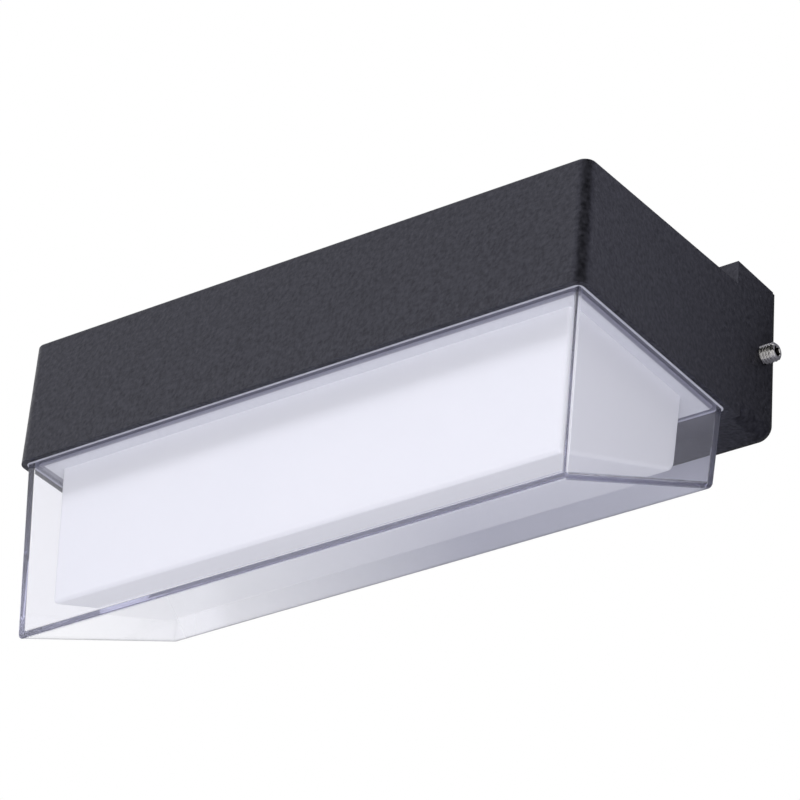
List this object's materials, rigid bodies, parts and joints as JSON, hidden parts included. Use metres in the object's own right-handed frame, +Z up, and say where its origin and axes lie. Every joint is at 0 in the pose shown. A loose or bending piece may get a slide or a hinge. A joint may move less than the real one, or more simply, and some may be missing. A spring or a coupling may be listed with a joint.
{
  "type": "outdoor wall light",
  "caption": "Box-shaped outdoor wall light: black cast body, clear wedge-shaped cover over an opal diffuser, LED board and driver inside, on a wall bracket locked by set screws.",
  "frame": {"origin": "centre of the wall bracket's back, on the wall, level with the set screws", "axes": "+Z up, +X along the length of the light, +Y into the wall; the light stands out along -Y"},
  "size_m": [0.219, 0.1025, 0.114],
  "materials": {
    "cast_housing": "die casting with a fine-textured black powder coat",
    "clear_cover": "clear moulded plastic, polished",
    "silicone_seal": "translucent silicone bead",
    "white_tray": "white baked enamel, satin",
    "opal_diffuser": "opal moulded plastic, satin",
    "led_board": "metal-core board with white solder mask",
    "led_chips": "phosphor-filled LED packages",
    "white_plastic": "moulded nylon",
    "zinc_screws": "zinc-plated steel",
    "driver_case": "moulded plastic case",
    "lead_black": "PVC insulation",
    "lead_red": "PVC insulation",
    "lead_blue": "PVC insulation",
    "lead_brown": "PVC insulation",
    "lead_green": "green and yellow PVC insulation",
    "tinned_lug": "tinned copper",
    "black_rubber": "moulded rubber",
    "foam_gasket": "closed-cell foam",
    "bracket_steel": "zinc-plated sheet steel",
    "set_screw_steel": "stainless steel, machined thread"
  },
  "bodies": {
    "bracket": {"wall_bracket": "bracket_steel", "cable_bush": "black_rubber"},
    "light": {"housing": "cast_housing", "clear_cover": "clear_cover", "cover_seal": "silicone_seal", "reflector_tray": "white_tray", "opal_diffuser": "opal_diffuser", "led_board": "led_board", "led_chips": "led_chips", "led_connector": "white_plastic", "board_screws": "zinc_screws", "tray_screws": "zinc_screws", "driver_screws": "zinc_screws", "led_driver": "driver_case", "led_lead_black": "lead_black", "led_lead_red": "lead_red", "mains_lead_blue": "lead_blue", "mains_lead_brown": "lead_brown", "earth_lead": "lead_green", "earth_lug": "tinned_lug", "earth_screw": "zinc_screws", "block_screws": "zinc_screws", "terminal_block": "white_plastic", "clamp_screws": "zinc_screws", "lead_grommet": "black_rubber", "wall_gasket": "foam_gasket"},
    "set_screw_right": {"set_screw_right": "set_screw_steel"},
    "set_screw_left": {"set_screw_left": "set_screw_steel"}
  },
  "joints": [
    {"name": "light_off", "type": "slide", "parent": "bracket", "child": "light", "axis": [0, -1, 0], "range_m": [0, 0.04]},
    {"name": "set_screw_right_travel", "type": "slide", "parent": "light", "child": "set_screw_right", "axis": [1, 0, 0], "range_m": [-0.00025, 0.006]},
    {"name": "set_screw_left_travel", "type": "slide", "parent": "light", "child": "set_screw_left", "axis": [-1, 0, 0], "range_m": [-0.00025, 0.006]}
  ]
}
